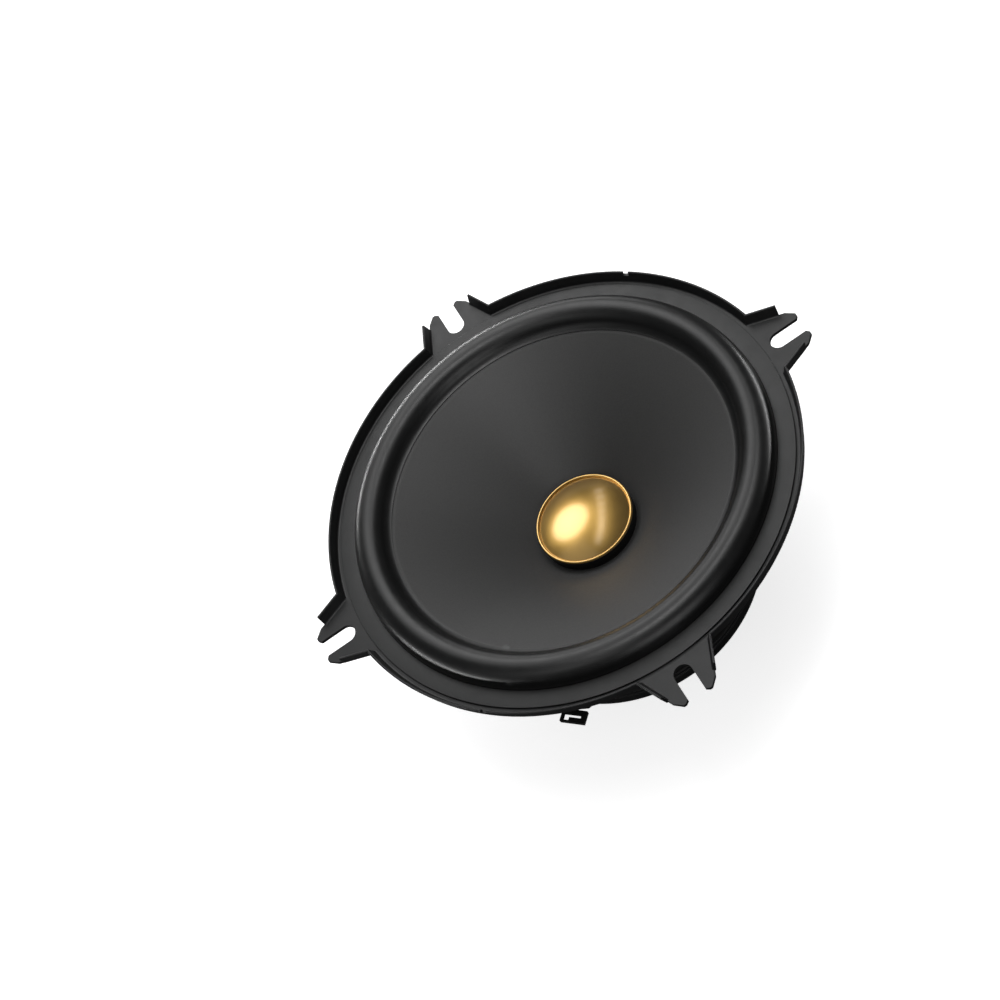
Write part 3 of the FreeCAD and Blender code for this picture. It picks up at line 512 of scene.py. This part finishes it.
def make_cone():
    """Thin shell with a curved flare, a flat lip under the surround and a straight neck."""
    inner, outer, low, high = span("cone")
    edge = MM * 47.4
    thick = MM * 0.5
    curve = MM * 166
    neck_r, neck_z = MM * 13.6, -MM * 19.0

    def generatrix(p, q, steps):
        """The curved line from p to q, bulging forward, with the cone's radius of curvature."""
        p, q = Vector(p), Vector(q)
        chord = q - p
        left = Vector((-chord.y, chord.x)).normalized()
        centre = (p + q) / 2 - left * math.sqrt(curve**2 - (chord.length / 2) ** 2)
        a0 = math.atan2(p.y - centre.y, p.x - centre.x)
        a1 = math.atan2(q.y - centre.y, q.x - centre.x)
        return [
            (centre.x + curve * math.cos(a), centre.y + curve * math.sin(a))
            for a in np.linspace(a0, a1, steps + 1)
        ]

    front = generatrix((neck_r, neck_z), (edge, high), 40)
    back = generatrix((neck_r + thick * 0.3, neck_z - thick), (edge + thick * 0.3, high - thick), 40)
    section = [(inner, neck_z)] + front + [(outer, high), (outer, high - thick)] + back[::-1]
    section += [(inner + thick, low), (inner, low)]
    piece = lathe("cone_shell", section)
    stand_for(piece, "cone", MOVING_BODY)
    finish_with(piece, "cone")


def make_surround():
    """Half-roll: a hollow inner flange with a moulding tab, the roll, and the foot under the
    ring."""
    inner, outer, low, high = span("surround")
    thick, foot = MM * 0.45, MM * 0.3
    centre = (MM * 53.35, MM * 2.2)
    roll = high - centre[1]
    seat = MM * 2.65
    edge_z = seat + MM * 0.3
    undercut = MM * 0.15
    under = math.degrees(math.asin((seat - centre[1]) / (roll - thick)))
    slope = math.radians(18)
    reach, rise = centre[0] - inner, edge_z - centre[1]
    # the flange is an arc that starts at the edge with the slope and touches the roll
    tilt_in, tilt_up = math.sin(slope), math.cos(slope)
    hollow = (reach**2 + rise**2 - roll**2) / (2 * (roll - reach * tilt_in - rise * tilt_up))
    pit = (inner - hollow * tilt_in, edge_z + hollow * tilt_up)
    meet = math.degrees(math.atan2(pit[1] - centre[1], centre[0] - pit[0]))
    section = arc(pit, hollow, math.degrees(slope) - 90, -meet, 12)
    section += arc(centre, roll, 180 - meet, 0, 56)
    section += [(centre[0] + roll, low + foot * 1.5), (centre[0] + roll + MM * 0.1, low + foot)]
    section += [(outer, low + foot), (outer, low), (centre[0] + roll - thick, low)]
    section += arc(centre, roll - thick, 0, 180 - under, 56)
    section += [(inner + undercut, seat)]

    tab_wide, tab_long = MM * 1.1, MM * 0.95

    def tab(r, z, a):
        """A small round tab on the inner edge, on the -Y side."""
        if r > inner + MM * 0.02:
            return r, z
        off = abs((a + TURN / 4 + math.pi) % TURN - math.pi) * r
        if off >= tab_wide:
            return r, z
        return r - tab_long * math.sqrt(1 - (off / tab_wide) ** 2), z

    tab_at, near_tab = 0.75 * TURN, 0.03
    fine = np.linspace(-near_tab, near_tab, 49) + tab_at
    around = np.linspace(0, TURN, SEGMENTS, endpoint=False)
    coarse = [a for a in around if abs(a - tab_at) > near_tab + 0.005]
    piece = lathe("surround_roll", section, np.sort(np.concatenate([coarse, fine])), shift=tab)
    finish_with(piece, "rubber")
    inner_foot, outer_foot = centre[0] - roll, centre[0] + roll

    def share(x, y):
        return 1 - eased((np.hypot(x, y) - inner_foot) / (outer_foot - inner_foot))

    bend_between(piece, "surround", share)


def make_landing_ring():
    """Flat band with two softened upper edges."""
    inner, outer, low, high = span("landing_ring")
    bevel = MM * 0.12
    section = rounded([(inner, low), (outer, low), (outer, high, bevel), (inner, high, bevel)], 5)
    piece = lathe("landing_ring_band", section)
    stand_for(piece, "landing_ring", FRAME_BODY)
    finish_with(piece, "ring")


def make_cap():
    """Metallised dome in a rolled rim."""
    _, outer, low, _ = span("dust_cap")
    bead = MM * 0.4
    dome_r = MM * 12.75
    sphere = MM * 28.0
    sheet = MM * 0.35
    seat = low + sheet
    drop = math.sqrt(sphere**2 - dome_r**2)
    half = math.degrees(math.asin(dome_r / sphere))
    gap = MM * 0.01
    section = arc((0, seat - drop), sphere, 90, 90 - half, 36)
    section[0] = (0.0, section[0][1])
    section += arc((outer - bead, low + bead), bead, 175, 0, 14)
    section += [(outer, low + bead * 0.5), (outer - bead * 0.3, low)]
    section += arc((0, low - drop), sphere - gap, 90 - half, 90, 24)
    section[-1] = (0.0, section[-1][1])
    piece = lathe("dust_cap_dome", section, closed=False)
    stand_for(piece, "dust_cap", MOVING_BODY)
    finish_with(piece, "gold")


def make_collar():
    """Ring between the cone's neck and the cap, tapered a little for its mould."""
    inner, outer, low, high = span("cap_collar")
    soft = taper = MM * 0.15
    corners = [(inner, low), (outer, low, soft), (outer - taper, high, soft), (inner, high)]
    piece = lathe("cap_collar_ring", rounded(corners))
    stand_for(piece, "cap_collar", MOVING_BODY)
    finish_with(piece, "collar")


def make_former():
    """Thin foil tube."""
    inner, outer, low, high = span("voice_coil_former")
    burr = MM * 0.03
    corners = [(inner, low), (outer, low, burr), (outer, high, burr), (inner, high)]
    piece = lathe("voice_coil_former_tube", rounded(corners, 2))
    stand_for(piece, "voice_coil_former", MOVING_BODY)
    finish_with(piece, "foil")


def make_winding():
    """Close-wound round wire: the outer face is a stack of half-round ridges."""
    inner, outer, low, high = span("voice_coil_winding")
    wire = MM * 0.25
    turns = int((high - low) / wire)
    pitch = (high - low) / turns
    section = [(inner, high), (inner, low)]
    for i in range(turns):
        middle = low + pitch * (i + 0.5)
        section += arc((outer - pitch / 2, middle), pitch / 2, -80, 80, 4)
    piece = lathe("voice_coil_wire", section, np.linspace(0, TURN, 128, endpoint=False))
    stand_for(piece, "voice_coil_winding", MOVING_BODY)
    finish_with(piece, "copper")


def make_spider():
    """Corrugated cloth disc between the former and the basket's ledge."""
    inner, outer, low, _ = span("spider")
    cloth, neck_cloth = MM * 0.4, MM * 0.35
    foot, landing = -MM * 20.2, MM * 0.8
    start, half_wave, waves, height = MM * 14.6, MM * 1.35, 6, MM * 0.38
    end = start + 2 * waves * half_wave
    steps = 12 * waves
    top = [(inner, foot), (inner + landing, foot)]
    for i in range(1, steps):
        f = i / steps
        top.append((start + (end - start) * f, foot - height * math.sin(f * waves * TURN)))
    top += [(end, foot), (outer, foot)]
    bottom = [(r, z - cloth) for r, z in top[::-1][:-1]]
    neck = [(inner + neck_cloth, foot - cloth), (inner + neck_cloth, low), (inner, low)]
    piece = lathe("spider_disc", top + bottom + neck, np.linspace(0, TURN, 256, endpoint=False))
    finish_with(piece, "cloth")

    def share(x, y):
        return 1 - eased((np.hypot(x, y) - start) / (end - start))

    bend_between(piece, "spider", share)


# ---------------------------------------------------------------- motor


def turned_piece(name, node, material, section):
    """A lathe piece that stands for a CAD node of the frame."""
    piece = lathe(name, section)
    stand_for(piece, node, FRAME_BODY)
    finish_with(piece, material)


def make_top_plate():
    """Blanked steel plate: a rolled upper edge and a sharper lower one."""
    inner, outer, low, high = span("top_plate")
    soft, crisp = MM * 0.5, MM * 0.15
    corners = [(inner, low, crisp), (outer, low, crisp), (outer, high, soft), (inner, high, soft)]
    turned_piece("top_plate_disc", "top_plate", "steel", rounded(corners))


def make_magnet():
    """Ferrite ring with ground faces and chamfered edges."""
    inner, outer, low, high = span("magnet")
    chamfer, worn = MM * 0.8, MM * 0.2
    corners = [
        (inner, low),
        (outer - chamfer, low, worn),
        (outer, low + chamfer, worn),
        (outer, high - chamfer, worn),
        (outer - chamfer, high, worn),
        (inner, high),
    ]
    turned_piece("ferrite_ring", "magnet", "ferrite", rounded(corners))


def make_yoke():
    """Back plate and pole in one, with the vent's bore and the seat of its screen."""
    bore, outer, low, high = span("yoke")
    pole, plate_top = MM * 12.25, low + MM * 4.2
    seat, seat_r = low + MM * 0.8, MM * 5.6
    edge, fine = MM * 0.8, MM * 0.2
    corners = [
        (bore, seat, fine),
        (seat_r, seat),
        (seat_r, low, fine),
        (outer, low, edge),
        (outer, plate_top, fine),
        (pole, plate_top, fine),
        (pole, high, edge),
        (bore, high, fine),
    ]
    turned_piece("yoke_and_pole", "yoke", "steel", rounded(corners))


def make_magnet_cover():
    """Moulded rubber cup: round rear edge, a bead round its opening, a rim round its underside
    and two shallow grooves in its wall."""
    hole, outer, low, high = span("magnet_cover")
    wall_in = span("magnet")[1] + MM * 0.05
    floor = low + MM * 1.0
    bead, rim, hollow, slant = MM * 1.2, MM * 4.0, MM * 0.3, (MM * 0.4, MM * 0.5)
    groove, deep = MM * 0.5, MM * 0.3
    rear_edge, front_edge, soft, tight, crisp = MM * 1.4, MM * 0.9, MM * 0.3, MM * 0.2, MM * 0.15
    corners = [
        (hole, low, soft),
        (hole + bead, low, soft),
        (hole + bead + slant[0], low + hollow, tight),
        (outer - rim - slant[1], low + hollow, soft),
        (outer - rim, low, soft),
        (outer, low, rear_edge),
    ]
    for height in (low + MM * 4.2, low + MM * 5.8):
        corners += [(outer, height - groove, crisp), (outer - deep, height - groove, crisp)]
        corners += [(outer - deep, height + groove, crisp), (outer, height + groove, crisp)]
    corners += [(outer, high, front_edge), (wall_in, high, tight), (wall_in, floor), (hole, floor, soft)]
    turned_piece("motor_boot", "magnet_cover", "cover", rounded(corners))


def make_vent_screen():
    """Plain-woven wire gauze in a flat rim."""
    _, outer, low, high = span("vent_screen")
    middle, wire, pitch = (low + high) / 2, MM * 0.09, MM * 0.55
    rim = MM * 0.5
    pieces = []
    # each wire ends in the middle of the rim
    reach = outer - rim * 0.5
    count = int(reach / pitch)
    for across in (0, 1):
        for i in range(-count, count + 1):
            offset = i * pitch
            half = math.sqrt(max(reach**2 - offset**2, 0.0))
            steps = max(int(half / pitch * 4), 4)
            line = []
            for along in np.linspace(-half, half, steps + 1):
                phase = math.cos(math.pi * along / pitch) * (-1) ** (i + across)
                x, y = (along, offset) if across == 0 else (offset, along)
                line.append((x, y, middle + wire * 0.8 * phase))
            pieces.append(tube(line, wire, 6))
    pieces.append(ring_rows(outer - rim, outer, low, high))
    piece = join_meshes("vent_gauze_disc", pieces)
    stand_for(piece, "vent_screen", FRAME_BODY)
    finish_with(piece, "gauze")


def rivet_head(radius, under, top, steps=8):
    """Outline of a domed head from near its crown down to its rim, flatter than a half round."""
    angles = [math.pi / 2 * i / steps for i in range(1, steps + 1)]
    return [(radius * math.sin(a), under + (top - under) * math.cos(a) ** 0.7) for a in angles]


def make_rivets(node, name, slot, material, spots, head_r, shank_r, grip):
    """Rivets with domed heads: grip gives the (low, high) heights of the sheets they hold. The
    lower head is left out where the shank ends flush with the sheets."""
    _, _, low, high = span(node)
    flush = MM * 0.05
    section = [(0.0, high)] + rivet_head(head_r, grip[1], high)
    section += [(head_r, grip[1]), (shank_r, grip[1]), (shank_r, grip[0])]
    if low < grip[0] - flush:
        section += [(head_r, grip[0])] + rivet_head(head_r, grip[0], low)[::-1]
    section.append((0.0, low))
    piece = join_meshes(name, [spun(section, x, y) for x, y in spots])
    stand_for(piece, node, FRAME_BODY)
    finish_with(piece, material)


# ---------------------------------------------------------------- leads


def make_lead(node, name, blade_x, pad_angle):
    """Tinsel lead: eight strands plaited round a core, from its blade's rivet to its solder pad."""
    lead, end_gap = MM * 0.45, MM * 0.05
    pad_ring, pad_face = MM * 20.6, -MM * 16.3
    start = Vector((blade_x, RIVET_Y, -MM * 20.7))
    pad = (pad_ring * math.cos(pad_angle), pad_ring * math.sin(pad_angle))
    end = Vector((*pad, pad_face - lead - end_gap))
    run = end - start
    rise, sag = start + run * 0.22, start + run * 0.6
    rise.z, sag.z = -MM * 17.0, -MM * 17.6
    steps, strand, lay, core = 220, MM * 0.13, MM * 2.6, lead * 0.62
    middle = spline([start, rise, sag, end], steps)
    length = sum((Vector(b) - Vector(a)).length for a, b in zip(middle, middle[1:]))
    turns = length / lay
    pieces = [tube(middle, core, 10)]
    for k in range(8):
        hand = 1 if k % 2 else -1
        line = []
        for i, point in enumerate(middle):
            here = Vector(point)
            ahead = Vector(middle[min(i + 1, steps)]) - Vector(middle[max(i - 1, 0)])
            side = ahead.cross(Vector((0, 0, 1))).normalized()
            up = side.cross(ahead).normalized()
            a = hand * turns * TURN * i / steps + TURN * (k // 2) / 4
            weave = math.cos(4 * turns * TURN * i / steps + math.pi * (k // 2)) * hand
            out = lead - strand * (1.15 - 0.25 * weave)
            line.append(here + side * (out * math.cos(a)) + up * (out * math.sin(a)))
        pieces.append(tube(line, strand, 6))
    piece = join_meshes(name, pieces)
    finish_with(piece, "braid")
    first, flat = np.array(start[:2]), np.array(run[:2])

    def share(x, y):
        along = ((x - first[0]) * flat[0] + (y - first[1]) * flat[1]) / (flat @ flat)
        return eased(along)

    bend_between(piece, node, share)


# ---------------------------------------------------------------- the pieces


make_cone()
make_surround()
make_landing_ring()
make_cap()
make_collar()
make_former()
make_winding()
make_spider()
make_top_plate()
make_magnet()
make_yoke()
make_magnet_cover()
make_vent_screen()
RIVET_RING = MM * 22
QUARTERS = [(RIVET_RING, 0), (0, RIVET_RING), (-RIVET_RING, 0), (0, -RIVET_RING)]
BOARD_X, BLADE_STEP, RIVET_Y = MM * 7.4, MM * 4.8, -MM * 45.4
BLADES = [(BOARD_X - BLADE_STEP, RIVET_Y), (BOARD_X + BLADE_STEP, RIVET_Y)]
# node, piece, slot, material, places, head and shank radius, heights of the sheets held
RIVETS = [
    ("basket_rivets", "basket_rivet_set", "plated_steel", "steel", QUARTERS,
     MM * 2.6, MM * 1.5, (-MM * 29.8, -MM * 25.8)),
    ("board_rivet", "board_rivet_domed", "plated_steel", "steel", [(BOARD_X, RIVET_Y)],
     MM * 1.8, MM * 1.0, (-MM * 22.8, -MM * 20.6)),
    ("tab_rivets", "blade_rivets", "terminal_brass", "tin", BLADES,
     MM * 1.25, MM * 0.7, (-MM * 23.6, -MM * 21.6)),
]
for settings in RIVETS:
    make_rivets(*settings)
# azimuths of the solder pads on the back of the cone
PADS = [math.radians(285 - 11), math.radians(285 + 11)]
make_lead("lead_positive", "tinsel_positive", BLADES[0][0], PADS[0])
make_lead("lead_negative", "tinsel_negative", BLADES[1][0], PADS[1])

# CAD nodes that stay, and their materials
CARRIED = {
    "basket": "steel_black",
    "terminal_board": "board",
    "terminal_tab_positive": "tin",
    "terminal_tab_negative": "tin",
    "coil_lead_joints": "glue",
}
for node, material in CARRIED.items():
    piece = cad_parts[node]
    finish_with(piece, material)
    piece.data.shade_smooth()
    piece.data.set_sharp_from_angle(angle=math.radians(30))


# ---------------------------------------------------------------- floor, light and camera


def camera_sees(tree, seen, other):
    """A mix shader that shows one shader to the camera and the other to every other ray."""
    path = tree.nodes.new("ShaderNodeLightPath")
    mix = tree.nodes.new("ShaderNodeMixShader")
    tree.links.new(path.outputs["Is Camera Ray"], mix.inputs["Fac"])
    tree.links.new(other, mix.inputs[1])
    tree.links.new(seen, mix.inputs[2])
    return mix.outputs[0]


def make_floor(level):
    """Pale floor. It glows a little for the camera and stays dim for the object."""
    mesh = bpy.data.meshes.new("floor")
    reach = 6.0
    signs = [(-1, -1), (1, -1), (1, 1), (-1, 1)]
    corners = [(x * reach, y * reach, level) for x, y in signs]
    mesh.from_pydata(corners, [], [(0, 1, 2, 3)])
    floor = add_object("floor", mesh)
    s = Shader("pale_floor")
    s.set(Specular_IOR_Level=0.1, Roughness=0.9, Emission_Strength=0.72)
    s.colour(s.ramp(s.noise(4, 2), [(0.3, (0.90, 0.90, 0.90)), (0.7, (0.92, 0.92, 0.92))]))
    s.base.inputs["Emission Color"].default_value = (1, 1, 1, 1)
    dim = s.add("ShaderNodeBsdfDiffuse")
    dim.inputs["Color"].default_value = (0.08, 0.08, 0.08, 1)
    s.link(camera_sees(s.tree, s.base.outputs[0], dim.outputs[0]), s.out.inputs["Surface"])
    floor.data.materials.append(s.material)


def from_angles(azimuth, elevation, distance):
    """A place at an azimuth from +X and an elevation, both in degrees."""
    a, e = math.radians(azimuth), math.radians(elevation)
    return Vector((math.cos(a) * math.cos(e), math.sin(a) * math.cos(e), math.sin(e))) * distance


def make_light(name, azimuth, elevation, distance, size, power, spin=0.0, shape="RECTANGLE"):
    """A soft box aimed at the middle of the flange, unseen by the camera. Angles in degrees."""
    lamp = bpy.data.lights.new(name, "AREA")
    lamp.shape = shape
    lamp.size, lamp.size_y = size
    lamp.energy = power
    light = bpy.data.objects.new(name, lamp)
    bpy.context.scene.collection.objects.link(light)
    place = from_angles(azimuth, elevation, distance)
    light.location = place
    light.rotation_mode = "QUATERNION"
    turn = (-place).to_track_quat("-Z", "Y")
    light.rotation_quaternion = turn @ Matrix.Rotation(math.radians(spin), 4, "Z").to_quaternion()
    light.visible_camera = False
    return light


def bowed_row(name, ends, count, distance, wide, power):
    """Settings of small round lamps along a curved line in the sky, brightest in its middle."""
    first, pull, last = [from_angles(azimuth, elevation, 1.0) for azimuth, elevation in ends]
    row = []
    for i in range(count):
        t = (i + 0.5) / count
        way = first * (1 - t) ** 2 + pull * (2 * t * (1 - t)) + last * t**2
        azimuth = math.degrees(math.atan2(way.y, way.x))
        elevation = math.degrees(math.atan2(way.z, math.hypot(way.x, way.y)))
        glow = power * (0.4 + 0.6 * math.sin(math.pi * t))
        row.append((f"{name}_{i}", azimuth, elevation, distance, (wide, wide), glow, 0, "DISK"))
    return row


def light_group(name, lights, piece, state):
    """Makes lights that shine only on the piece (state INCLUDE) or on all but it (state EXCLUDE)."""
    receivers = bpy.data.collections.new(name)
    receivers.objects.link(piece)
    receivers.collection_objects[0].light_linking.link_state = state
    for settings in lights:
        make_light(*settings).light_linking.receiver_collection = receivers


def make_sky():
    """Plain studio surroundings: pale where the camera looks past the floor, dim and even to the object."""
    world = bpy.data.worlds.new("studio")
    bpy.context.scene.world = world
    world.use_nodes = True
    tree = world.node_tree
    tree.nodes.clear()
    out = tree.nodes.new("ShaderNodeOutputWorld")
    seen = tree.nodes.new("ShaderNodeBackground")
    seen.inputs["Color"].default_value = (0.95, 0.95, 0.95, 1)
    dim = tree.nodes.new("ShaderNodeBackground")
    dim.inputs["Color"].default_value = (0.08, 0.08, 0.082, 1)
    tree.links.new(camera_sees(tree, seen.outputs[0], dim.outputs[0]), out.inputs["Surface"])


def make_camera():
    """A long lens looking down on the cone from the terminals' side, rolled to one side."""
    azimuth, elevation, roll = -40.49, 51.56, -37.82
    distance, lens = 0.6143, 84.77
    target = Vector((-0.01645, -0.00507, 0.001))
    data = bpy.data.cameras.new("camera")
    data.lens = lens
    data.sensor_width = 36
    camera = bpy.data.objects.new("camera", data)
    bpy.context.scene.collection.objects.link(camera)
    back = from_angles(azimuth, elevation, 1.0)
    camera.location = target + back * distance
    camera.rotation_mode = "QUATERNION"
    level = (-back).to_track_quat("-Z", "Y")
    camera.rotation_quaternion = level @ Matrix.Rotation(math.radians(roll), 4, "Z").to_quaternion()
    bpy.context.scene.camera = camera


make_floor(CAD_BOX[0].z)
make_sky()
# name, azimuth, elevation, distance, size, power and, where needed, spin and shape
STUDIO = [
    ("key", 137, 46, 0.55, (0.40, 0.40), 0.54),
    ("key_high", 135, 72, 0.9, (0.4, 0.4), 0.5),
    ("strip", 96, 47, 0.9, (0.14, 0.62), 0.45, 35),
    ("overhead", 75, 78, 0.9, (0.16, 0.58), 0.9),
    ("top", -60, 86, 0.9, (0.3, 0.3), 1.0),
    ("fill_left", -85, 58, 0.9, (0.5, 0.5), 0.6),
    ("fill_low", -110, 40, 0.9, (0.5, 0.5), 0.2),
    ("fill_front", -40, 25, 0.9, (0.5, 0.5), 1.2),
    ("rim", 130, 9, 0.9, (0.7, 0.25), 1.0),
    ("near", 130, 42, 0.35, (0.16, 0.16), 0.15),
    ("side", 60, 66, 0.9, (0.4, 0.4), 0.6),
]
# low, wide lamps under the flange's plane, for the bowl and the motor; they also graze the roll
LOW_LIGHTS = [(f"low_{azimuth}", azimuth, -2.5, 0.7, (0.5, 0.03), 1.6) for azimuth in (60, 150, 225)]
CAP_LIGHTS = [
    ("cap_key", 157, 50, 0.5, (0.36, 0.36), 1.1, 0, "ELLIPSE"),
    ("cap_fill", -130, 60, 0.9, (0.6, 0.6), 0.36),
]
# azimuths and elevations of the start, the pull point and the end of a bowed row of small lamps
BOW = [(112, 26), (74, 70), (-78, 82)]
CAP_LIGHTS += bowed_row("cap_bow", BOW, count=9, distance=0.9, wide=0.12, power=0.11)
cap = bpy.data.objects["dust_cap_dome"]
light_group("all_but_cap", STUDIO + LOW_LIGHTS, cap, "EXCLUDE")
light_group("cap_only", CAP_LIGHTS, cap, "INCLUDE")
make_camera()
bpy.context.scene.view_settings.view_transform = "Standard"
